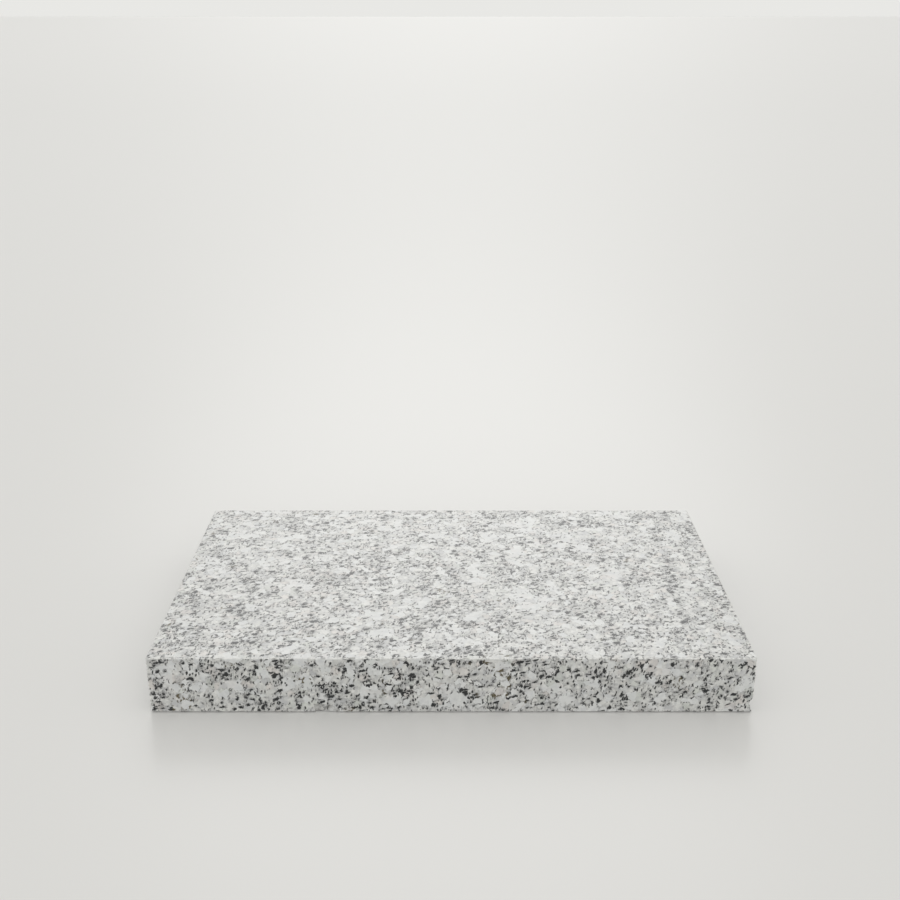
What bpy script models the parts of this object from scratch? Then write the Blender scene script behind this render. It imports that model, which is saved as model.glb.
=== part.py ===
"""Granite slab for leather tooling, on four low-profile rubber feet.

The slab is one block of stone: a honed top to stamp and skive on, sawn sides, and edges
eased by a small rounded arris. Four shallow recesses are cored into its underside, and a
self-adhesive rubber foot sits in each, so that the stone stands a hair above the bench
and can't slide. Metres, +Z up, +X along the long edge, the front face towards -Y. The
origin is the middle of the base, on the bench.
"""

import math

import bmesh
import bpy
from mathutils import Matrix, Vector

# Slab
SLAB_WIDTH = 0.305
SLAB_DEPTH = 0.183
SLAB_THICKNESS = 0.0312
ARRIS = 0.0006
ARRIS_SEGMENTS = 3

# Feet and the recesses that they sit in
FOOT_DIAMETER = 0.020
FOOT_HEIGHT = 0.0026
FOOT_EDGE = 0.0004
FOOT_INSET = 0.026
STAND_OFF = 0.0005
CLEARANCE = 0.0003
RECESS_EASE = 0.0003
GROOVE_RADII = (0.0036, 0.0064)
GROOVE_WIDTH = 0.0008
GROOVE_DEPTH = 0.0004

# Flakes broken from the lower edge of the front face and from its right corner
EDGE_FLAKE_FROM_LEFT = 0.0833
EDGE_FLAKE_LENGTH = 0.0127
EDGE_FLAKE_HEIGHT = 0.0050
EDGE_FLAKE_DEPTH = 0.0016
CORNER_FLAKE_DEPTH = 0.0019
CORNER_FLAKE_LENGTH = 0.0085
CORNER_FLAKE_HEIGHT = 0.0084

# A flake is the cap of an ellipsoid whose middle stands out of the stone by this share of its radius
FLAKE_STAND_OUT = 0.6

CUT_MARGIN = 0.001
ROUND_STEPS = 48
SMOOTH_ANGLE = math.radians(32)

SLAB_BASE = STAND_OFF
SLAB_TOP = STAND_OFF + SLAB_THICKNESS
RECESS_RADIUS = FOOT_DIAMETER / 2 + CLEARANCE
RECESS_CEILING = FOOT_HEIGHT + CLEARANCE

GRANITE = {"colour": (0.60, 0.60, 0.58, 1.0), "roughness": 0.45}
RUBBER = {"colour": (0.035, 0.035, 0.037, 1.0), "roughness": 0.80}


def clear_scene():
    for item in list(bpy.data.objects):
        bpy.data.objects.remove(item, do_unlink=True)


def new_collection(name):
    collection = bpy.data.collections.new(name)
    bpy.context.scene.collection.children.link(collection)
    return collection


def new_material(name, colour, roughness):
    material = bpy.data.materials.new(name)
    material.use_nodes = True
    shader = material.node_tree.nodes["Principled BSDF"]
    shader.inputs["Base Color"].default_value = colour
    shader.inputs["Roughness"].default_value = roughness
    shader.inputs["Metallic"].default_value = 0.0
    material.diffuse_color = colour
    return material


def new_object(name, mesh, collection):
    item = bpy.data.objects.new(name, mesh)
    collection.objects.link(item)
    return item


def box_mesh(name, size, centre):
    box = bmesh.new()
    bmesh.ops.create_cube(box, size=1.0)
    bmesh.ops.scale(box, vec=size, verts=box.verts)
    bmesh.ops.translate(box, vec=centre, verts=box.verts)
    mesh = bpy.data.meshes.new(name)
    box.to_mesh(mesh)
    box.free()
    return mesh


def turned_mesh(name, profile):
    """Turn a profile of (radius, height) points, listed from the top's axis down to the base's."""
    outline = bmesh.new()
    points = [outline.verts.new((radius, 0.0, height)) for radius, height in profile]
    for start, end in zip(points, points[1:]):
        outline.edges.new((start, end))
    blank = bpy.data.meshes.new(name + "_profile")
    outline.to_mesh(blank)
    outline.free()

    lathe = bpy.data.objects.new(name + "_lathe", blank)
    bpy.context.scene.collection.objects.link(lathe)
    screw = lathe.modifiers.new("Turn", "SCREW")
    screw.axis = "Z"
    screw.steps = ROUND_STEPS
    screw.render_steps = ROUND_STEPS
    screw.use_merge_vertices = True
    screw.merge_threshold = 0.00001
    mesh = bpy.data.meshes.new_from_object(lathe.evaluated_get(bpy.context.evaluated_depsgraph_get()))
    mesh.name = name
    bpy.data.objects.remove(lathe, do_unlink=True)
    bpy.data.meshes.remove(blank)
    return mesh


def foot_profile():
    """Half section of a foot: flat pad, eased rims and ring grooves in the sole."""
    radius = FOOT_DIAMETER / 2
    profile = [
        (0.0, FOOT_HEIGHT),
        (radius - FOOT_EDGE / 2, FOOT_HEIGHT),
        (radius, FOOT_HEIGHT - FOOT_EDGE / 2),
        (radius, FOOT_EDGE),
        (radius - FOOT_EDGE, 0.0),
    ]
    for groove in sorted(GROOVE_RADII, reverse=True):
        profile += [
            (groove + GROOVE_WIDTH / 2, 0.0),
            (groove + GROOVE_WIDTH / 4, GROOVE_DEPTH),
            (groove - GROOVE_WIDTH / 4, GROOVE_DEPTH),
            (groove - GROOVE_WIDTH / 2, 0.0),
        ]
    profile.append((0.0, 0.0))
    return profile


def recess_profile():
    """Half section of a recess: a flat-ceilinged core hole whose mouth is eased."""
    mouth = SLAB_BASE - CUT_MARGIN
    return [
        (0.0, RECESS_CEILING),
        (RECESS_RADIUS, RECESS_CEILING),
        (RECESS_RADIUS, SLAB_BASE + RECESS_EASE),
        (RECESS_RADIUS + RECESS_EASE, SLAB_BASE),
        (RECESS_RADIUS + RECESS_EASE, mouth),
        (0.0, mouth),
    ]


def flake_mesh(name, length, height, depth, square_break):
    """Cutter for a conchoidal flake in a face that looks along -Y, its middle on that face.

    length and height are half sizes on the face, and depth is how deep the flake goes.
    A square break cuts off its left half.
    """
    flake = bmesh.new()
    bmesh.ops.create_uvsphere(flake, u_segments=24, v_segments=16, radius=1.0)
    bmesh.ops.rotate(flake, matrix=Matrix.Rotation(math.radians(90), 3, "X"), verts=flake.verts)
    if square_break:
        cut = bmesh.ops.bisect_plane(
            flake,
            geom=flake.verts[:] + flake.edges[:] + flake.faces[:],
            plane_co=(0.0, 0.0, 0.0),
            plane_no=(-1.0, 0.0, 0.0),
            clear_outer=True,
            dist=0.00001,
        )
        rim = [edge for edge in cut["geom_cut"] if isinstance(edge, bmesh.types.BMEdge)]
        bmesh.ops.holes_fill(flake, edges=rim)
    rim_share = math.sqrt(1.0 - FLAKE_STAND_OUT**2)
    depth_radius = depth / (1.0 - FLAKE_STAND_OUT)
    bmesh.ops.scale(flake, vec=(length / rim_share, depth_radius, height / rim_share), verts=flake.verts)
    bmesh.ops.translate(flake, vec=(0.0, -FLAKE_STAND_OUT * depth_radius, 0.0), verts=flake.verts)
    bmesh.ops.recalc_face_normals(flake, faces=flake.faces)
    mesh = bpy.data.meshes.new(name)
    flake.to_mesh(mesh)
    flake.free()
    return mesh


def foot_places():
    """Centre of each foot on the bench, by the corner it stands under."""
    across = SLAB_WIDTH / 2 - FOOT_INSET
    along = SLAB_DEPTH / 2 - FOOT_INSET
    return {
        "front_left": Vector((-across, -along, 0.0)),
        "front_right": Vector((across, -along, 0.0)),
        "back_left": Vector((-across, along, 0.0)),
        "back_right": Vector((across, along, 0.0)),
    }


def hide_cutter(cutter):
    cutter.hide_render = True
    cutter.display_type = "WIRE"


def subtract(target, cutter):
    cut = target.modifiers.new("Cut " + cutter.name, "BOOLEAN")
    cut.operation = "DIFFERENCE"
    cut.solver = "EXACT"
    cut.object = cutter


def build_flakes(cutters):
    """Cutters for the flake under the front face and the one at its right corner."""
    front = -SLAB_DEPTH / 2
    edge_mesh = flake_mesh("edge_flake", EDGE_FLAKE_LENGTH, EDGE_FLAKE_HEIGHT, EDGE_FLAKE_DEPTH, True)
    edge_flake = new_object("edge_flake", edge_mesh, cutters)
    edge_flake.location = (-SLAB_WIDTH / 2 + EDGE_FLAKE_FROM_LEFT, front, SLAB_BASE)

    corner_mesh = flake_mesh(
        "corner_flake", CORNER_FLAKE_LENGTH, CORNER_FLAKE_HEIGHT / 2, CORNER_FLAKE_DEPTH, False
    )
    corner_flake = new_object("corner_flake", corner_mesh, cutters)
    corner_flake.location = (SLAB_WIDTH / 2, front, SLAB_BASE + CORNER_FLAKE_HEIGHT / 2)
    corner_flake.rotation_euler = (0.0, 0.0, math.radians(90))

    for flake in (edge_flake, corner_flake):
        hide_cutter(flake)
    return edge_flake, corner_flake


def build_slab(parts, cutters):
    """The stone: a block with eased edges, four foot recesses and two broken flakes."""
    mesh = box_mesh(
        "granite_slab",
        (SLAB_WIDTH, SLAB_DEPTH, SLAB_THICKNESS),
        (0.0, 0.0, (SLAB_BASE + SLAB_TOP) / 2),
    )
    slab = new_object("granite_slab", mesh, parts)
    slab.data.materials.append(new_material("granite", GRANITE["colour"], GRANITE["roughness"]))

    arris = slab.modifiers.new("Arris", "BEVEL")
    arris.width = ARRIS
    arris.segments = ARRIS_SEGMENTS
    arris.limit_method = "NONE"

    recess = turned_mesh("foot_recess", recess_profile())
    for corner, place in foot_places().items():
        cutter = new_object("recess_" + corner, recess, cutters)
        cutter.location = place
        hide_cutter(cutter)
        subtract(slab, cutter)
    for flake in build_flakes(cutters):
        subtract(slab, flake)
    return slab


def build_feet(parts):
    """Four equal rubber feet, one in each recess."""
    mesh = turned_mesh("rubber_foot", foot_profile())
    mesh.shade_smooth()
    mesh.set_sharp_from_angle(angle=SMOOTH_ANGLE)
    mesh.materials.append(new_material("foot_rubber", RUBBER["colour"], RUBBER["roughness"]))
    for corner, place in foot_places().items():
        foot = new_object("foot_" + corner, mesh, parts)
        foot.location = place


def main():
    clear_scene()
    parts = new_collection("granite_tooling_slab")
    cutters = new_collection("cutters")
    build_slab(parts, cutters)
    build_feet(parts)


main()
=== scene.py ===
"""Looks of a granite slab for leather tooling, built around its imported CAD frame.

The slab is one block of light grey granite: a honed, sealed top, sawn sides, edges eased by hand
and nicked in use, and four cored recesses underneath that hold self-adhesive rubber feet. The
stone's minerals are a solid pattern in the block's own space, so a fleck that meets an edge
carries on round it. Metres, +Z up, the front face towards -Y.
"""

from __future__ import annotations

import logging
import math
import random
from dataclasses import dataclass, field
from enum import Enum
from typing import Any, Sequence

import bmesh
import bpy
from mathutils import Euler, Matrix, Vector, noise

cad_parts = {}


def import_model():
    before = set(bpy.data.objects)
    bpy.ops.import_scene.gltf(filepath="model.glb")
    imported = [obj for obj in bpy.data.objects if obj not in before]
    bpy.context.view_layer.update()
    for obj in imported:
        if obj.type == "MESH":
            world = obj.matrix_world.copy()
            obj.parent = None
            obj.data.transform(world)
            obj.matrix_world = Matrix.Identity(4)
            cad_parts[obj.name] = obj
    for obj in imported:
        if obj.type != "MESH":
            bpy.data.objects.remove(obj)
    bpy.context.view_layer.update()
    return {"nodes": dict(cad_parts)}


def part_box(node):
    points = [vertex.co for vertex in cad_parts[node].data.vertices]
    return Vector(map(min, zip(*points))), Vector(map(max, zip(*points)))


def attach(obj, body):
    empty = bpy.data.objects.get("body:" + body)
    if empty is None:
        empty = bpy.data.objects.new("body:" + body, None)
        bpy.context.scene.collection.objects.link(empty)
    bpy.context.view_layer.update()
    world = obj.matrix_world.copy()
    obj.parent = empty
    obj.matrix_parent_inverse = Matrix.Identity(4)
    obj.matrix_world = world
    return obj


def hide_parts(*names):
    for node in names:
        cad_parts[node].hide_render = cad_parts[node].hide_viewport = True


LOG = logging.getLogger("granite_slab")

MM = 0.001

SAME_POINT = 0.001 * MM
SHARP_ANGLE = math.radians(35)

MAP_NAME = "OFBake"  # the name of the stone's flat map
MIDDLE = 0.5  # of a noise
MIX_SHARE, MIX_BELOW, MIX_ABOVE, MIX_RESULT = 0, 6, 7, 2  # a colour Mix node's sockets

Number = int | float
Colour = tuple[float, float, float]
Patch = tuple[float, ...]  # a noise's size, detail and roughness
Warp = tuple[float, float]  # a warp's size and reach
Ramp = tuple[float, ...]  # a ramp's low and high levels, and its results there if not 0 and 1


# ----------------------------------------------------------------------------------------------
# Shader graph
# ----------------------------------------------------------------------------------------------


class Field:
    """What changes over a surface: one output socket, with Python's operators."""

    def __init__(self, graph: Graph, socket: bpy.types.NodeSocket | None) -> None:
        """Wrap a socket.

        Args:
            graph: The graph that the socket's node is in.
            socket: The output socket that carries it, or None after a node without outputs.
        """
        self.graph = graph
        self.socket = socket

    def _math(self, operation: str, *terms: Term) -> Field:
        """Add a Math node.

        Args:
            operation: The node's operation.
            terms: Its inputs, in order.

        Returns:
            The node's result.
        """
        return self.graph.add("ShaderNodeMath", {"operation": operation}, dict(enumerate(terms)))

    def __add__(self, other: Term) -> Field:
        """Sum of two fields."""
        return self._math("ADD", self, other)

    def __radd__(self, other: Term) -> Field:
        """Sum of a number and a field."""
        return self._math("ADD", other, self)

    def __sub__(self, other: Term) -> Field:
        """Difference of two fields."""
        return self._math("SUBTRACT", self, other)

    def __mul__(self, other: Term) -> Field:
        """Product of two fields."""
        return self._math("MULTIPLY", self, other)

    def __rmul__(self, other: Term) -> Field:
        """Product of a number and a field."""
        return self._math("MULTIPLY", other, self)

    def larger(self, other: Term) -> Field:
        """The larger of two fields."""
        return self._math("MAXIMUM", self, other)

    def ramp(self, low: Term, high: Term, start: Number = 0.0, end: Number = 1.0) -> Field:
        """Ease the field from one level to another.

        Args:
            low: The value of the field where the result is start.
            high: The value of the field where the result is end.
            start: The result below low.
            end: The result above high.

        Returns:
            The eased field.
        """
        settings = {"interpolation_type": "SMOOTHSTEP"}
        return self.graph.add(
            "ShaderNodeMapRange",
            settings,
            {"Value": self, "From Min": low, "From Max": high, "To Min": start, "To Max": end},
        )


Term = Field | Number


@dataclass(frozen=True)
class Crystals:
    """Cells of the stone.

    A cell has three random numbers, the same all over it, and how far away its middle is.
    """

    first: Field
    second: Field
    third: Field
    away: Field


class Graph:
    """The node tree of one material."""

    def __init__(self, name: str) -> None:
        """Start a material with nothing but its output.

        Args:
            name: The material's name.
        """
        self.material = bpy.data.materials.new(name)
        self.material.use_nodes = True
        self.tree = self.material.node_tree
        self.tree.nodes.clear()

    def add(
        self,
        kind: str,
        settings: dict[str, Any] | None = None,
        sockets: dict[str | int, Any] | None = None,
        output: str | int = 0,
    ) -> Field:
        """Add any node.

        Args:
            kind: The node's type name.
            settings: The node's own properties, set first.
            sockets: Values, or fields to link, by input name or number.
            output: The output to return.

        Returns:
            The chosen output.
        """
        node = self.tree.nodes.new(kind)
        for key, value in (settings or {}).items():
            setattr(node, key, value)
        for key, value in (sockets or {}).items():
            if isinstance(value, Field):
                self.tree.links.new(value.socket, node.inputs[key])
            else:
                node.inputs[key].default_value = value
        return Field(self, node.outputs[output] if node.outputs else None)

    def other(self, source: Field, output: str | int) -> Field:
        """Another output of the node that a field comes from."""
        return Field(self, source.socket.node.outputs[output])

    def place(self) -> Field:
        """The point on the piece, in its own space and in millimetres."""
        return self.vector("SCALE", self.add("ShaderNodeTexCoord", output="Object"), Scale=1.0 / MM)

    def vector(self, operation: str, *terms: Any, **named: Any) -> Field:
        """Add a Vector Math node.

        Args:
            operation: The node's operation.
            terms: Its vector inputs, in order.
            named: Its other inputs, by name.

        Returns:
            The node's vector.
        """
        sockets: dict[str | int, Any] = dict(enumerate(terms))
        sockets.update(named)
        return self.add("ShaderNodeVectorMath", {"operation": operation}, sockets)

    def noise(self, point: Field, size: float, detail: float = 2.0, rough: float = 0.5) -> Field:
        """Soft noise.

        Args:
            point: Where it is read, in millimetres.
            size: The size of its largest lumps, in millimetres.
            detail: How many finer layers it holds.
            rough: How strong each finer layer is beside the one before.

        Returns:
            The noise, from nought to one about MIDDLE.
        """
        sockets = {"Vector": point, "Scale": 1.0 / size, "Detail": detail, "Roughness": rough}
        return self.add("ShaderNodeTexNoise", {"noise_dimensions": "3D"}, sockets, "Fac")

    def warp(self, point: Field, size: float, reach: float) -> Field:
        """Move a point about, so that what is read there loses its straight edges.

        Args:
            point: The point, in millimetres.
            size: The size of the warp's lumps, in millimetres.
            reach: How far the warp moves a point at most, in millimetres.

        Returns:
            The moved point.
        """
        lumps = self.other(self.noise(point, size), "Color")
        push = self.vector("SUBTRACT", lumps, (MIDDLE, MIDDLE, MIDDLE))
        return self.vector("ADD", point, self.vector("SCALE", push, Scale=reach / MIDDLE))

    def _voronoi(self, point: Field, size: float, feature: str, output: str) -> Field:
        """Add a Voronoi node.

        Args:
            point: Where it is read, in millimetres.
            size: The mean size of its cells, in millimetres.
            feature: What it measures.
            output: The output to return.

        Returns:
            The chosen output.
        """
        sockets = {"Vector": point, "Scale": 1.0 / size, "Randomness": 1.0}
        return self.add("ShaderNodeTexVoronoi", {"feature": feature}, sockets, output)

    def cells(self, point: Field, size: float) -> Crystals:
        """Crystals: cells that each hold three random numbers.

        Args:
            point: Where they are read, in millimetres.
            size: Their mean size, in millimetres.

        Returns:
            The crystals.
        """
        colour = self._voronoi(point, size, "F1", "Color")
        first = self.add("ShaderNodeSeparateColor", {}, {"Color": colour}, "Red")
        second, third = self.other(first, "Green"), self.other(first, "Blue")
        return Crystals(first, second, third, self.other(colour, "Distance"))

    def seams(self, point: Field, size: float) -> Field:
        """Distance from the seams between crystals of the same size, as a share of that size."""
        return self._voronoi(point, size, "DISTANCE_TO_EDGE", "Distance")

    def mix(self, below: Any, above: Any, share: Term) -> Field:
        """Lay one colour over another.

        Args:
            below: The colour underneath.
            above: The colour on top.
            share: How much of the top one shows.

        Returns:
            The blended colour.
        """
        ends = {MIX_BELOW: self.rgba(below), MIX_ABOVE: self.rgba(above), MIX_SHARE: share}
        return self.add("ShaderNodeMix", {"data_type": "RGBA"}, ends, MIX_RESULT)

    @staticmethod
    def rgba(colour: Any) -> Any:
        """A colour with its alpha, or a field as it is."""
        return colour if isinstance(colour, Field) else (*colour, 1.0)

    def bump(self, height: Field, depth: float, strength: float) -> Field:
        """Raise a surface a little.

        Args:
            height: How high it is raised, as a share of the depth.
            depth: The depth, in metres.
            strength: How strongly it tilts the surface.

        Returns:
            The tilted normal.
        """
        sockets = {"Height": height, "Distance": depth, "Strength": strength}
        return self.add("ShaderNodeBump", {}, sockets, "Normal")

    def surface(self, sockets: dict[str | int, Any]) -> bpy.types.Material:
        """Close the graph with a Principled shader.

        Args:
            sockets: Values, or fields to link, by input name.

        Returns:
            The finished material.
        """
        shader = self.add("ShaderNodeBsdfPrincipled", {}, sockets)
        self.add("ShaderNodeOutputMaterial", {}, {"Surface": shader})
        return self.material


# ----------------------------------------------------------------------------------------------
# Finishes
# ----------------------------------------------------------------------------------------------


class Cut(Enum):
    """How a face of the stone came to be."""

    HONED = "honed"
    SAWN = "sawn"
    EASED = "eased"
    BROKEN = "broken"


@dataclass(frozen=True)
class Granite:
    """A light grey, medium-grained granite: feldspar, quartz and clustered black mica.

    Colours are linear, and sizes are in millimetres.
    """

    cut: Cut
    feldspar: Colour = (0.500, 0.500, 0.484)
    chalky: Colour = (0.715, 0.715, 0.692)
    quartz: Colour = (0.450, 0.455, 0.462)
    warm: Colour = (0.590, 0.535, 0.500)
    green: Colour = (0.510, 0.540, 0.490)
    plain: Colour = (0.620, 0.632, 0.635)
    smoke: Colour = (0.200, 0.200, 0.198)
    mica: Colour = (0.018, 0.019, 0.020)
    rust: Colour = (0.120, 0.098, 0.050)
    bruise: Colour = (0.800, 0.800, 0.780)
    # Painted shade for the breaks, partly grime in the chips: the dark colour laid into broken faces.
    grime_and_shade: Colour = (0.230, 0.222, 0.212)

    grain: float = 4.2
    large_grain: float = 7.5
    fine_grain: float = 1.5
    grain_warp: Warp = (2.4, 0.9)
    fine_warp: Warp = (0.9, 0.4)

    cloud: Patch = (2.6, 4.0, 0.65)
    light_base: float = 0.2
    light_shares: tuple[float, float, float] = (0.25, 0.30, 1.3)
    light_ramp: Ramp = (0.0, 0.95)
    quartz_patch: Patch = (4.0, 3.0, 0.6)
    quartz_shares: tuple[float, float] = (0.30, 1.1)
    quartz_ramp: Ramp = (0.66, 0.96, 0.0, 0.85)
    speck_ramp: Ramp = (0.80, 0.90, 0.0, 0.40)
    warm_ramp: Ramp = (0.84, 0.90, 0.0, 0.40)
    green_ramp: Ramp = (0.12, 0.06, 0.0, 0.40)

    plain_edge: Patch = (1.5,)
    plain_fray: float = 0.1
    plain_ramp: Ramp = (0.86, 0.92)
    large_ramp: Ramp = (0.90, 0.94)
    plain_weight: float = 0.55

    crowd: Patch = (9.0, 3.0, 0.6)
    crowd_ramp: Ramp = (0.39, 0.65, 0.0, 0.46)
    seam_ramp: Ramp = (0.26, 0.06, 0.0, 0.28)
    plain_share: float = 0.25
    haze_ramp: Ramp = (0.15, 0.55, 0.0, 0.17)
    # Each layer of flakes has a mean size and turns about X, Y and Z, in radians.
    flakes: tuple[tuple[float, tuple[float, float, float]], ...] = (
        (4.0, (0.4, 0.2, 0.5)),
        (3.0, (1.5, 0.5, 0.9)),
        (2.2, (0.3, 1.4, 2.1)),
    )
    flake_warps: tuple[Warp, ...] = ((2.0, 0.7), (0.7, 0.25))
    flake_thinness: float = 2.4
    flake_radius: Ramp = (0.0, 1.0, 0.20, 0.54)
    flake_present: Ramp = (-0.01, 0.02)
    flake_rim: float = -0.05
    flake_softness: Ramp = (0.0, 0.6, 0.40, 0.07)
    halo_ramp: Ramp = (-0.45, 0.05)
    halo_weight: float = 0.6
    fray_patch: Patch = (0.9, 3.0, 0.7)
    fray: float = 0.95

    stain_patch: Patch = (16.0, 1.0)
    stain_ramp: Ramp = (0.66, 0.72, 0.0, 0.8)
    bruise_patch: Patch = (1.6, 3.0, 0.65)
    bruise_ramp: Ramp = (0.36, 0.60)
    grime_and_shade_patch: Patch = (3.5, 3.0, 0.6)
    grime_and_shade_ramp: Ramp = (0.35, 0.62)
    grit: Patch = (0.35, 2.0, 0.6)
    bump_share: float = 0.5
    bump_strength: float = 1.0
    mica_roughness: float = 0.12
    grit_roughness: float = 0.16
    coat_roughness: float = 0.22

    @property
    def roughness(self) -> float:
        """Roughness of the feldspar under this cut."""
        return {Cut.HONED: 0.38, Cut.SAWN: 0.55, Cut.EASED: 0.50, Cut.BROKEN: 0.72}[self.cut]

    @property
    def seal(self) -> float:
        """Weight of the sealer's coat under this cut."""
        return {Cut.HONED: 0.7, Cut.SAWN: 0.0, Cut.EASED: 0.3, Cut.BROKEN: 0.0}[self.cut]

    @property
    def bruising(self) -> float:
        """How strongly crushed crystals whiten the stone under this cut."""
        return {Cut.HONED: 0.0, Cut.SAWN: 0.0, Cut.EASED: 0.80, Cut.BROKEN: 0.30}[self.cut]

    @property
    def shade_and_dirt(self) -> float:
        """How strongly painted shade, partly grime, darkens the stone under this cut."""
        return {Cut.HONED: 0.0, Cut.SAWN: 0.0, Cut.EASED: 0.0, Cut.BROKEN: 0.50}[self.cut]

    @property
    def relief(self) -> float:
        """Depth of the finest relief under this cut, in metres."""
        return {Cut.HONED: 0.02, Cut.SAWN: 0.05, Cut.EASED: 0.06, Cut.BROKEN: 0.25}[self.cut] * MM

    def material(self) -> bpy.types.Material:
        """Make the stone's material.

        Returns:
            The material.
        """
        graph = Graph("granite_" + self.cut.value)
        point = graph.place()
        bent = graph.warp(point, *self.grain_warp)
        grain = graph.cells(bent, self.grain)
        large = graph.cells(bent, self.large_grain).second.ramp(*self.large_ramp)
        plain = grain.second + self.plain_fray * graph.noise(point, *self.plain_edge)
        plain = plain.ramp(*self.plain_ramp).larger(large)
        flecks, smoke = self._flecks(graph, point, bent, plain)
        colour = graph.mix(self._ground(graph, point, grain, plain), self.smoke, smoke)
        stain = graph.noise(point, *self.stain_patch).ramp(*self.stain_ramp)
        colour = graph.mix(colour, graph.mix(self.mica, self.rust, stain), flecks)
        if self.bruising:
            crushed = graph.noise(point, *self.bruise_patch).ramp(*self.bruise_ramp)
            colour = graph.mix(colour, self.bruise, self.bruising * crushed)
        # Painted shade on the broken faces, partly grime: darker patches laid into their colour.
        if self.shade_and_dirt:
            shade_and_grime = graph.noise(point, *self.grime_and_shade_patch).ramp(*self.grime_and_shade_ramp)
            colour = graph.mix(colour, self.grime_and_shade, self.shade_and_dirt * shade_and_grime)
        grit = graph.noise(point, *self.grit)
        height = self.bump_share * (grit - flecks)
        uneven = self.mica_roughness * flecks + self.grit_roughness * (grit - MIDDLE)
        return graph.surface(
            {
                "Base Color": colour,
                "Roughness": self.roughness + uneven,
                "Normal": graph.bump(height, self.relief, self.bump_strength),
                "Coat Weight": self.seal,
                "Coat Roughness": self.coat_roughness,
            }
        )

    def _ground(self, graph: Graph, point: Field, grain: Crystals, plain: Field) -> Field:
        """Feldspar and quartz, without the mica.

        Args:
            graph: The material's graph.
            point: The point on the stone.
            grain: The grain that the point is in.
            plain: Where a large plain feldspar lies.

        Returns:
            Their colour.
        """
        fine = graph.cells(graph.warp(point, *self.fine_warp), self.fine_grain)
        cloud = graph.noise(point, *self.cloud) - MIDDLE
        by_grain, by_fine, by_cloud = self.light_shares
        light = grain.second * by_grain + fine.first * by_fine + cloud * by_cloud + self.light_base
        colour = graph.mix(self.feldspar, self.chalky, light.ramp(*self.light_ramp))
        by_grain, by_patch = self.quartz_shares
        grey = grain.first * by_grain + graph.noise(point, *self.quartz_patch) * by_patch
        colour = graph.mix(colour, self.quartz, grey.ramp(*self.quartz_ramp))
        colour = graph.mix(colour, self.warm, grain.third.ramp(*self.warm_ramp))
        colour = graph.mix(colour, self.green, grain.third.ramp(*self.green_ramp))
        colour = graph.mix(colour, self.quartz, fine.second.ramp(*self.speck_ramp))
        return graph.mix(colour, self.plain, plain * self.plain_weight)

    def _flecks(
        self, graph: Graph, point: Field, bent: Field, plain: Field
    ) -> tuple[Field, Field]:
        """Black mica: flakes at all angles, crowded along the seams between grains.

        Args:
            graph: The material's graph.
            point: The point on the stone.
            bent: The same, with the grain's warp.
            plain: Where a large plain feldspar lies, which holds little mica.

        Returns:
            Where the mica is black, and where it only smokes through the feldspar.
        """
        ragged = point
        for warp in self.flake_warps:
            ragged = graph.warp(ragged, *warp)
        seam = graph.seams(bent, self.grain).ramp(*self.seam_ramp)
        crowd = graph.noise(point, *self.crowd).ramp(*self.crowd_ramp)
        share = crowd + seam - self.plain_share * plain
        fray = (graph.noise(point, *self.fray_patch) - MIDDLE) * self.fray
        flecks: Term = 0.0
        smoke: Term = share.ramp(*self.haze_ramp)
        for size, turn in self.flakes:
            settings = {"rotation_type": "EULER_XYZ"}
            laid = graph.add("ShaderNodeVectorRotate", settings, {"Vector": ragged, "Rotation": turn})
            thin = graph.vector("MULTIPLY", laid, (1.0, 1.0, self.flake_thinness))
            flake = graph.cells(thin, size)
            present = (share - flake.first).ramp(*self.flake_present)
            body = flake.second.ramp(*self.flake_radius) + fray - flake.away
            black = body.ramp(self.flake_rim, flake.third.ramp(*self.flake_softness))
            halo = body.ramp(*self.halo_ramp) * self.halo_weight
            flecks = (black * present).larger(flecks)
            smoke = (halo * present).larger(smoke)
        return flecks, smoke


@dataclass(frozen=True)
class Rubber:
    """Black moulded rubber, dusty from the bench. Sizes are in millimetres."""

    black: Colour = (0.022, 0.022, 0.024)
    dust: Colour = (0.110, 0.105, 0.098)
    dust_patch: Patch = (3.5, 3.0, 0.6)
    dust_ramp: Ramp = (0.48, 0.72, 0.0, 0.6)
    pebble: Patch = (0.25, 2.0, 0.6)
    relief: float = 0.05
    bump_strength: float = 0.6
    roughness: float = 0.66
    dust_roughness: float = 0.2

    def material(self) -> bpy.types.Material:
        """Make the rubber's material.

        Returns:
            The material.
        """
        graph = Graph("foot_rubber")
        point = graph.place()
        patch = graph.noise(point, *self.dust_patch)
        pebble = graph.noise(point, *self.pebble)
        return graph.surface(
            {
                "Base Color": graph.mix(self.black, self.dust, patch.ramp(*self.dust_ramp)),
                "Roughness": self.roughness + self.dust_roughness * patch,
                "Normal": graph.bump(pebble, self.relief * MM, self.bump_strength),
            }
        )


# ----------------------------------------------------------------------------------------------
# Mesh helpers
# ----------------------------------------------------------------------------------------------


def new_object(name: str, shape: bmesh.types.BMesh) -> bpy.types.Object:
    """Put a shape into the scene.

    Args:
        name: The object's name.
        shape: The shape, which is freed.

    Returns:
        The object.
    """
    mesh = bpy.data.meshes.new(name)
    shape.to_mesh(mesh)
    shape.free()
    item = bpy.data.objects.new(name, mesh)
    bpy.context.scene.collection.objects.link(item)
    return item


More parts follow.
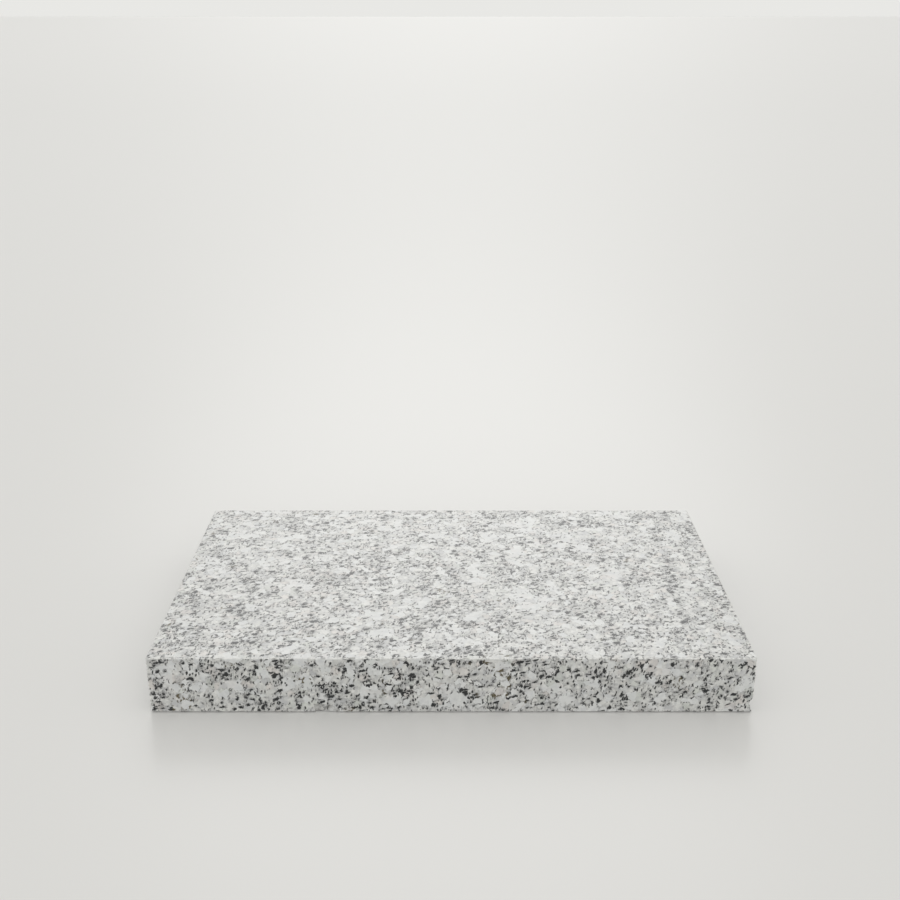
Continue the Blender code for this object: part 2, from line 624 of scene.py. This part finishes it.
def turned(profile: Sequence[tuple[float, float]], steps: int) -> bmesh.types.BMesh:
    """Turn a profile about Z.

    Args:
        profile: Radii and heights, from the top's axis down to the base's.
        steps: How many steps make the round.

    Returns:
        The turned shape.
    """
    shape = bmesh.new()
    points = [shape.verts.new((radius, 0.0, height)) for radius, height in profile]
    edges = [shape.edges.new(pair) for pair in zip(points, points[1:])]
    bmesh.ops.spin(
        shape,
        geom=points + edges,
        cent=(0.0, 0.0, 0.0),
        axis=(0.0, 0.0, 1.0),
        angle=2 * math.pi,
        steps=steps,
        use_merge=True,
    )
    bmesh.ops.remove_doubles(shape, verts=shape.verts, dist=SAME_POINT)
    bmesh.ops.recalc_face_normals(shape, faces=shape.faces)
    return shape


def add_part(shape: bmesh.types.BMesh, part: bmesh.types.BMesh, place: Vector) -> None:
    """Add a part to a shape.

    Args:
        shape: The shape.
        part: The part, which is freed.
        place: Where the part's origin goes.
    """
    bmesh.ops.translate(part, vec=place, verts=part.verts)
    mesh = bpy.data.meshes.new("part")
    part.to_mesh(mesh)
    part.free()
    shape.from_mesh(mesh)
    bpy.data.meshes.remove(mesh)


# ----------------------------------------------------------------------------------------------
# The stone
# ----------------------------------------------------------------------------------------------


@dataclass
class Foot:
    """One rubber foot, where the frame has it."""

    node: str
    low: Vector
    high: Vector
    rim: float = 0.4 * MM
    grooves: tuple[float, ...] = (3.6 * MM, 6.4 * MM)
    groove_width: float = 0.8 * MM
    groove_depth: float = 0.4 * MM
    steps: int = 96
    rim_steps: int = 4

    @property
    def centre(self) -> Vector:
        """Middle of the sole."""
        return Vector(((self.low.x + self.high.x) / 2, (self.low.y + self.high.y) / 2, self.low.z))

    @property
    def radius(self) -> float:
        """Radius of the foot."""
        return (self.high.x - self.low.x) / 2

    @property
    def height(self) -> float:
        """Height of the foot."""
        return self.high.z - self.low.z

    def _rounded(self, height: float, radius: float, start: float) -> list[tuple[float, float]]:
        """A quarter round of the profile, which ends at the foot's full radius or begins there.

        Args:
            height: Height of the round's middle.
            radius: The round's own radius.
            start: The angle that it starts from, in degrees, turning clockwise.

        Returns:
            Its radii and heights.
        """
        steps = range(self.rim_steps + 1)
        turns = [math.radians(start - 90 * step / self.rim_steps) for step in steps]
        middle = self.radius - radius
        return [(middle + radius * math.cos(t), height + radius * math.sin(t)) for t in turns]

    def profile(self) -> list[tuple[float, float]]:
        """Half section of the foot.

        Returns:
            Radii and heights, from the top's axis down to the sole's.
        """
        top_rim = self.rim / 2
        points = [(0.0, self.height)]
        points += self._rounded(self.height - top_rim, top_rim, 90)
        points += self._rounded(self.rim, self.rim, 0)
        for groove in sorted(self.grooves, reverse=True):
            points += [
                (groove + self.groove_width / 2, 0.0),
                (groove + self.groove_width / 4, self.groove_depth),
                (groove - self.groove_width / 4, self.groove_depth),
                (groove - self.groove_width / 2, 0.0),
            ]
        return points + [(0.0, 0.0)]

    def build(self, material: bpy.types.Material) -> bpy.types.Object:
        """Make the foot.

        Args:
            material: The rubber.

        Returns:
            The foot.
        """
        shape = turned(self.profile(), self.steps)
        bmesh.ops.translate(shape, vec=self.centre, verts=shape.verts)
        foot = new_object(self.node + "_pad", shape)
        foot.data.shade_smooth()
        foot.data.set_sharp_from_angle(angle=SHARP_ANGLE)
        foot.data.materials.append(material)
        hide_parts(self.node)
        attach(foot, "root")
        return foot


@dataclass(frozen=True)
class Chart:
    """One side of the block, laid on the stone's flat map."""

    across: Vector
    up: Vector
    corner: tuple[float, float]
    scale: float = 1.0

    @property
    def out(self) -> Vector:
        """The way out of the stone on this side."""
        return self.across.cross(self.up)


@dataclass
class FlatMap:
    """The stone's flat map.

    The top and the four sides lie on it at full size, and the underside gets the room that they
    leave. The wall of a recess is drawn in from its rim, so that it has a width of its own.
    """

    low: Vector
    high: Vector
    wells: Sequence[tuple[Vector, float]]
    margin: float = 2.0 * MM
    reach: float = 10.0 * MM
    well_ease: float = 0.5 * MM
    draw_in: float = 1.2

    @property
    def size(self) -> Vector:
        """The block's size."""
        return self.high - self.low

    @property
    def side(self) -> float:
        """Length of the map's side."""
        return max(
            self.size.x + 2 * self.margin,
            self.size.y + 4 * self.size.z + 6 * self.margin,
        )

    def charts(self) -> list[Chart]:
        """Lay out the six sides.

        Returns:
            The charts, the underside last.
        """
        x, y, z = (Vector([float(i == axis) for i in range(3)]) for axis in range(3))
        row = self.size.z + self.margin
        front = self.size.y + 2 * self.margin
        spare = (self.size.y + 2 * self.margin, front + 2 * row)
        room = (self.side - self.margin - spare[0], 2 * row - self.margin)
        return [
            Chart(x, y, (self.margin, self.margin)),
            Chart(x, z, (self.margin, front)),
            Chart(-x, z, (self.margin, front + row)),
            Chart(y, z, (self.margin, front + 2 * row)),
            Chart(-y, z, (self.margin, front + 3 * row)),
            Chart(-x, y, spare, min(room[0] / self.size.x, room[1] / self.size.y)),
        ]

    def apply(self, mesh: bpy.types.Mesh) -> None:
        """Give every face of the stone its place on the map.

        Args:
            mesh: The stone's mesh.
        """
        charts = self.charts()
        layer = mesh.uv_layers.new(name=MAP_NAME)
        for face in mesh.polygons:
            offset = face.center - (self.low + self.high) / 2
            near = [chart for chart in charts if self._depth(chart, offset) < self.reach]
            chart = max(near, key=lambda chart: face.normal.dot(chart.out))
            for loop in face.loop_indices:
                point = mesh.vertices[mesh.loops[loop].vertex_index].co
                if chart is charts[-1]:
                    point = self._drawn_in(point)
                layer.uv[loop].vector = self._spot(chart, point)

    def _depth(self, chart: Chart, offset: Vector) -> float:
        """How deep under a side of the block a point lies, from the block's middle."""
        return abs(self.size.dot(chart.out)) / 2 - offset.dot(chart.out)

    def _drawn_in(self, point: Vector) -> Vector:
        """Where a point in a recess goes when the recess is drawn in from its rim.

        Args:
            point: A point of the underside.

        Returns:
            The same point, or the one that it is moved to.
        """
        for middle, radius in self.wells:
            away = Vector((point.x - middle.x, point.y - middle.y, 0.0))
            if away.length < radius + self.well_ease:
                return point - away * self.draw_in * (point.z - self.low.z) / radius
        return point

    def _spot(self, chart: Chart, point: Vector) -> tuple[float, float]:
        """Where a point lies on the map.

        Args:
            chart: The side that it is drawn on.
            point: The point on the stone.

        Returns:
            Its place, from nought to one each way.
        """
        offset = point - (self.low + self.high) / 2
        ways = (chart.across, chart.up)
        along = [offset.dot(way) + abs(self.size.dot(way)) / 2 for way in ways]
        across, up = (c + chart.scale * a for c, a in zip(chart.corner, along))
        return across / self.side, up / self.side


@dataclass
class Nick:
    """A small break in an edge of the stone: a lumpy ball that is cut away."""

    middle: Vector
    radii: Vector
    turn: Euler
    seed: float
    roundness: int = 2
    lumps: float = 0.10
    lump_scale: float = 1.7

    def add_to(self, shape: bmesh.types.BMesh) -> None:
        """Add the ball to a shape.

        Args:
            shape: The shape that collects what is cut away.
        """
        ball = bmesh.ops.create_icosphere(shape, subdivisions=self.roundness, radius=1.0)["verts"]
        for vert in ball:
            lump = noise.noise(vert.co * self.lump_scale + Vector((self.seed, 0.0, 0.0)))
            vert.co *= 1.0 + self.lumps * lump
        bmesh.ops.scale(shape, vec=self.radii, verts=ball)
        bmesh.ops.rotate(shape, matrix=self.turn.to_matrix(), verts=ball)
        bmesh.ops.translate(shape, vec=self.middle, verts=ball)


@dataclass(frozen=True)
class Flake:
    """A large conchoidal break in a face: a lumpy, rippled lens that is cut away.

    Its length and height are half its size on the face, and its depth is the depth of the break.
    """

    length: float
    height: float
    depth: float
    stand_out: float = 0.6
    roundness: int = 4
    lump_scales: tuple[float, float] = (2.1, 5.3)
    lumps: float = 0.05
    ripples: float = 14.0
    ripple_height: float = 0.008
    struck: tuple[float, float, float] = (-0.9, 0.0, -0.4)

    def build(self) -> bmesh.types.BMesh:
        """Make the lens, for a face through the origin that looks along -Y.

        Returns:
            The lens.
        """
        coarse, fine = self.lump_scales
        shape = bmesh.new()
        bmesh.ops.create_icosphere(shape, subdivisions=self.roundness, radius=1.0)
        for vert in shape.verts:
            lump = noise.noise(vert.co * coarse) + 0.5 * noise.noise(vert.co * fine)
            ripple = math.sin(self.ripples * (vert.co - Vector(self.struck)).length)
            vert.co *= 1.0 + self.lumps * lump + self.ripple_height * ripple
        share = math.sqrt(1.0 - self.stand_out**2)
        radius = self.depth / (1.0 - self.stand_out)
        spans = (self.length / share, radius, self.height / share)
        bmesh.ops.scale(shape, vec=spans, verts=shape.verts)
        bmesh.ops.translate(shape, vec=(0.0, -self.stand_out * radius, 0.0), verts=shape.verts)
        return shape


@dataclass
class StoneBlock:
    """The granite block: eased edges, cored recesses, two large flakes and small nicks.

    The edge flake's step is the way out through the steep face at its left end.
    """

    low: Vector
    high: Vector
    feet: list[Foot]
    arris: float = 0.55 * MM
    arris_steps: int = 3
    arris_slack: float = 1.001
    wander: float = 0.45
    wander_length: float = 3.5 * MM
    wander_ratio: float = 2.7
    edge_step: float = 1.2 * MM
    shortest_cut: float = 4.8 * MM
    same_row: float = 0.01 * MM
    flat_enough: float = 0.9999
    clearance: float = 0.3 * MM
    recess_ease: float = 0.35 * MM
    core_stand_out: float = 1.0 * MM
    nick_gap: tuple[float, float] = (4.0 * MM, 26.0 * MM)
    nick_depth: tuple[float, float] = (0.15 * MM, 0.55 * MM)
    nick_radius: tuple[float, float] = (0.9 * MM, 2.6 * MM)
    nick_stretch: tuple[float, float] = (0.9, 1.9)
    nick_turn: float = 0.35
    nick_room: float = 2.2
    nick_inset: float = 3.0 * MM
    nick_seeds: float = 100.0
    edge_flake: Flake = Flake(12.7 * MM, 5.0 * MM, 1.6 * MM)
    edge_flake_from_left: float = 83.3 * MM
    edge_flake_step: tuple[float, float, float] = (-1.0, 0.25, -0.12)
    edge_flake_room: float = 12.0 * MM
    corner_flake: Flake = Flake(8.5 * MM, 4.2 * MM, 1.9 * MM)
    corner_flake_room: float = 14.0 * MM
    seed: int = 17
    rng: random.Random = field(init=False)

    def __post_init__(self) -> None:
        """Seed the block's own random numbers."""
        self.rng = random.Random(self.seed)

    def build(self, finishes: Sequence[bpy.types.Material]) -> bpy.types.Object:
        """Make the stone.

        Args:
            finishes: The granite under each cut, in the order of the cuts.

        Returns:
            The stone.
        """
        block = self._block()
        for finish in finishes:
            block.data.materials.append(finish)
        self._dress(block.data)
        waste = self._waste(finishes)
        cut = block.modifiers.new("Breaks", "BOOLEAN")
        cut.operation = "DIFFERENCE"
        cut.solver = "EXACT"
        cut.object = waste
        graph = bpy.context.evaluated_depsgraph_get()
        mesh = bpy.data.meshes.new_from_object(block.evaluated_get(graph))
        block.modifiers.clear()
        block.data = mesh
        mesh.name = "granite_block"
        bpy.data.objects.remove(waste, do_unlink=True)
        wells = [(foot.centre, foot.radius + self.clearance) for foot in self.feet]
        FlatMap(self.low, self.high, wells).apply(mesh)
        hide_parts("granite_slab")
        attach(block, "root")
        return block

    def _block(self) -> bpy.types.Object:
        """The block with its eased edges, before anything has broken off.

        Returns:
            The block.
        """
        shape = bmesh.new()
        bmesh.ops.create_cube(shape, size=1.0)
        bmesh.ops.scale(shape, vec=self.high - self.low, verts=shape.verts)
        bmesh.ops.translate(shape, vec=(self.low + self.high) / 2, verts=shape.verts)
        bmesh.ops.bevel(
            shape,
            geom=shape.edges[:],
            offset=self.arris,
            offset_type="OFFSET",
            segments=self.arris_steps,
            profile=0.5,
            affect="EDGES",
        )
        for edge in shape.edges[:]:
            length = edge.calc_length()
            if length > self.shortest_cut:
                bmesh.ops.bisect_edges(shape, edges=[edge], cuts=int(length / self.edge_step))
        self._rung(shape)
        for vert in shape.verts:
            vert.co = self._wandered(vert.co)
        return new_object("granite_block", shape)

    def _rung(self, shape: bmesh.types.BMesh) -> None:
        """Join the points across each long arris strip, so that it can bend with them.

        Args:
            shape: The block, its long edges cut into steps.
        """
        for face in shape.faces[:]:
            spots = [vert.co for vert in face.verts]
            spans = [max(s[axis] for s in spots) - min(s[axis] for s in spots) for axis in range(3)]
            axis = spans.index(max(spans))
            if len(spots) <= 4 or face.calc_area() > self.arris * spans[axis]:
                continue
            rows: dict[int, list[bmesh.types.BMVert]] = {}
            for vert in face.verts:
                rows.setdefault(round(vert.co[axis] / self.same_row), []).append(vert)
            for row in rows.values():
                if len(row) == 2 and not set(row[0].link_edges) & set(row[1].link_edges):
                    bmesh.ops.connect_verts(shape, verts=row)

    def _wandered(self, spot: Vector) -> Vector:
        """Where a point of the arris goes when the hand that eased it wanders.

        Args:
            spot: The point on an even arris.

        Returns:
            The point on a wandering one.
        """
        along = spot / self.wander_length
        lump = noise.noise(along) + 0.5 * noise.noise(along * self.wander_ratio)
        scale = 1.0 + self.wander * lump
        moved = spot.copy()
        for axis in range(3):
            for side, inward in ((self.low[axis], 1.0), (self.high[axis], -1.0)):
                gap = (spot[axis] - side) * inward
                if 0.0 < gap <= self.arris * self.arris_slack:
                    moved[axis] = side + inward * gap * scale
        return moved

    def _dress(self, mesh: bpy.types.Mesh) -> None:
        """Give the top its honed finish, the arrises their eased one and the rest its sawn one.

        Args:
            mesh: The block's mesh.
        """
        for face in mesh.polygons:
            flat = max(abs(part) for part in face.normal) > self.flat_enough
            level = Cut.HONED if face.normal.z > self.flat_enough else Cut.SAWN
            face.material_index = list(Cut).index(level if flat else Cut.EASED)
            face.use_smooth = not flat

    def _waste(self, finishes: Sequence[bpy.types.Material]) -> bpy.types.Object:
        """Everything that was cored or broken out of the block.

        Args:
            finishes: The block's materials, in the block's order.

        Returns:
            One object that holds it all.
        """
        shape = bmesh.new()
        for foot in self.feet:
            add_part(shape, self._core(foot), foot.centre)
        cored = len(shape.faces)
        self._add_flakes(shape)
        for nick in self._nicks():
            nick.add_to(shape)
        for index, face in enumerate(shape.faces):
            face.material_index = list(Cut).index(Cut.SAWN if index < cored else Cut.BROKEN)
            face.smooth = True
        waste = new_object("waste", shape)
        for finish in finishes:
            waste.data.materials.append(finish)
        waste.data.set_sharp_from_angle(angle=SHARP_ANGLE)
        waste.hide_render = True
        return waste

    def _core(self, foot: Foot) -> bmesh.types.BMesh:
        """What is cored out for a foot.

        Args:
            foot: The foot that goes into the recess.

        Returns:
            The core, its origin at the foot's centre.
        """
        radius = foot.radius + self.clearance
        mouth = radius + self.recess_ease
        ceiling = foot.height + self.clearance
        base = self.low.z - foot.low.z
        profile = [
            (0.0, ceiling),
            (radius, ceiling),
            (radius, base + self.recess_ease),
            (mouth, base),
            (mouth, base - self.core_stand_out),
            (0.0, base - self.core_stand_out),
        ]
        return turned(profile, foot.steps)

    def _add_flakes(self, shape: bmesh.types.BMesh) -> None:
        """Break the two large flakes from the lower front edge.

        Args:
            shape: The shape that collects the waste.
        """
        edge = self.edge_flake.build()
        cut = bmesh.ops.bisect_plane(
            edge,
            geom=edge.verts[:] + edge.edges[:] + edge.faces[:],
            plane_co=(0.0, 0.0, 0.0),
            plane_no=self.edge_flake_step,
            clear_outer=True,
            dist=SAME_POINT,
        )
        rim = [item for item in cut["geom_cut"] if isinstance(item, bmesh.types.BMEdge)]
        bmesh.ops.holes_fill(edge, edges=rim)
        corner = self.corner_flake.build()
        quarter = Matrix.Rotation(math.radians(90), 3, "Z")
        bmesh.ops.rotate(corner, matrix=quarter, verts=corner.verts)
        for flake in (edge, corner):
            bmesh.ops.recalc_face_normals(flake, faces=flake.faces)
        left = self.low.x + self.edge_flake_from_left
        add_part(shape, edge, Vector((left, self.low.y, self.low.z)))
        middle = self.low.z + self.corner_flake.height
        add_part(shape, corner, Vector((self.high.x, self.low.y, middle)))

    def _nicks(self) -> list[Nick]:
        """Scatter small nicks along all twelve edges.

        Returns:
            The nicks.
        """
        nicks: list[Nick] = []
        for axis in range(3):
            first, second = [other for other in range(3) if other != axis]
            for side_a in (-1.0, 1.0):
                for side_b in (-1.0, 1.0):
                    outward = Vector((0.0, 0.0, 0.0))
                    outward[first] = side_a
                    outward[second] = side_b
                    nicks += self._edge_nicks(axis, outward.normalized())
        return nicks

    def _edge_nicks(self, axis: int, outward: Vector) -> list[Nick]:
        """Scatter small nicks along one edge.

        Args:
            axis: The axis that the edge runs along.
            outward: The way out of the stone at the edge.

        Returns:
            The nicks.
        """
        nicks: list[Nick] = []
        end = self.high[axis] - self.nick_inset
        along = self.low[axis] + self.nick_inset + self.rng.uniform(0.0, self.nick_gap[1])
        least, most = self.nick_depth
        while along < end:
            depth = least + (most - least) * self.rng.random() ** 2
            radius = self.rng.uniform(*self.nick_radius)
            middle = Vector(
                (self.high[i] if outward[i] > 0 else self.low[i]) if outward[i] else along
                for i in range(3)
            )
            rounding = self.arris * (math.sqrt(2.0) - 1.0)
            middle += outward * (radius - depth - rounding)
            stretch = self.rng.uniform(*self.nick_stretch)
            radii = Vector((radius, radius, radius))
            radii[axis] *= stretch
            turn = Euler([self.rng.uniform(-self.nick_turn, self.nick_turn) for _ in range(3)])
            if self._clear_of_flakes(middle, radius * stretch):
                seed = self.rng.uniform(0.0, self.nick_seeds)
                nicks.append(Nick(middle, radii, turn, seed))
            along += self.nick_room * radius * stretch + self.rng.uniform(*self.nick_gap)
        return nicks

    def _clear_of_flakes(self, middle: Vector, reach: float) -> bool:
        """Whether a nick is clear of the two large flakes.

        Args:
            middle: The nick's middle.
            reach: Its largest radius.

        Returns:
            True if nothing of it meets them.
        """
        edge = self.low.x + self.edge_flake_from_left + self.edge_flake.length / 2
        places = ((edge, self.edge_flake_room), (self.high.x, self.corner_flake_room))
        deep = max(middle.y - self.low.y, middle.z - self.low.z)
        if deep >= self.corner_flake_room:
            return True
        return all(abs(middle.x - x) >= room + reach for x, room in places)


# ----------------------------------------------------------------------------------------------
# The room
# ----------------------------------------------------------------------------------------------


@dataclass(frozen=True)
class SoftLight:
    """A far, wide lamp that lights the whole floor evenly. Its spread is in degrees."""

    name: str
    place: tuple[float, float, float]
    spread: float
    strength: float

    def build(self) -> None:
        """Hang the lamp, facing the slab."""
        lamp = bpy.data.lights.new(self.name, "SUN")
        lamp.angle = math.radians(self.spread)
        lamp.energy = self.strength
        light = bpy.data.objects.new(self.name, lamp)
        light.location = self.place
        light.rotation_euler = (-Vector(self.place)).to_track_quat("-Z", "Y").to_euler()
        bpy.context.scene.collection.objects.link(light)


@dataclass
class Studio:
    """A pale floor under an even sky, soft light and the camera.

    The camera's pitch is in degrees below level, and its lens and sensor are in millimetres.
    """

    floor_colour: Colour = (0.72, 0.715, 0.705)
    floor_roughness: float = 0.30
    floor_ior: float = 1.5
    floor_size: float = 400.0
    sky: Colour = (1.0, 0.997, 0.968)
    sky_strength: float = 0.81
    lights: tuple[SoftLight, ...] = (
        SoftLight("back_light", (0.0, 2.2, 1.35), 32.0, 0.32),
        SoftLight("front_light", (0.5, -2.2, 1.2), 44.0, 0.56),
    )
    camera_place: tuple[float, float, float] = (-0.0007, -0.5908, 0.3316)
    camera_pitch: float = 20.73
    lens: float = 46.04
    sensor: float = 36.0
    nearest: float = 0.01

    def build(self) -> None:
        """Make the floor, the light and the camera."""
        self._floor()
        self._light()
        self._camera()

    def _floor(self) -> None:
        """The floor, in the plane that the feet stand on."""
        shape = bmesh.new()
        bmesh.ops.create_grid(shape, x_segments=1, y_segments=1, size=self.floor_size / 2)
        floor = new_object("floor", shape)
        sockets = {
            "Base Color": Graph.rgba(self.floor_colour),
            "Roughness": self.floor_roughness,
            "IOR": self.floor_ior,
        }
        floor.data.materials.append(Graph("floor").surface(sockets))

    def _light(self) -> None:
        """A bright even sky and two wide soft lamps."""
        world = bpy.data.worlds.new("sky")
        world.use_nodes = True
        background = world.node_tree.nodes["Background"]
        background.inputs["Color"].default_value = Graph.rgba(self.sky)
        background.inputs["Strength"].default_value = self.sky_strength
        bpy.context.scene.world = world
        for light in self.lights:
            light.build()

    def _camera(self) -> None:
        """The camera, in front of the slab and a little above it."""
        data = bpy.data.cameras.new("camera")
        data.lens = self.lens
        data.sensor_width = self.sensor
        data.clip_start = self.nearest
        data.clip_end = self.floor_size
        camera = bpy.data.objects.new("camera", data)
        camera.location = self.camera_place
        camera.rotation_euler = (math.radians(90.0 - self.camera_pitch), 0.0, 0.0)
        bpy.context.scene.collection.objects.link(camera)
        bpy.context.scene.camera = camera


def main() -> None:
    """Build the slab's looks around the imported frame."""
    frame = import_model()
    bpy.context.scene.view_settings.view_transform = "Standard"
    Studio().build()
    rubber = Rubber().material()
    feet = [Foot(node, *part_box(node)) for node in sorted(frame["nodes"]) if node.startswith("foot")]
    for foot in feet:
        piece = foot.build(rubber)
        LOG.info("%s stands for %s", piece.name, foot.node)
    low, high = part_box("granite_slab")
    granite = [Granite(cut).material() for cut in Cut]
    stone = StoneBlock(low, high, feet).build(granite)
    LOG.info("%s has %d faces", stone.name, len(stone.data.polygons))


if __name__ == "__main__":
    logging.basicConfig(level=logging.INFO, format="%(name)s: %(message)s")
    main()
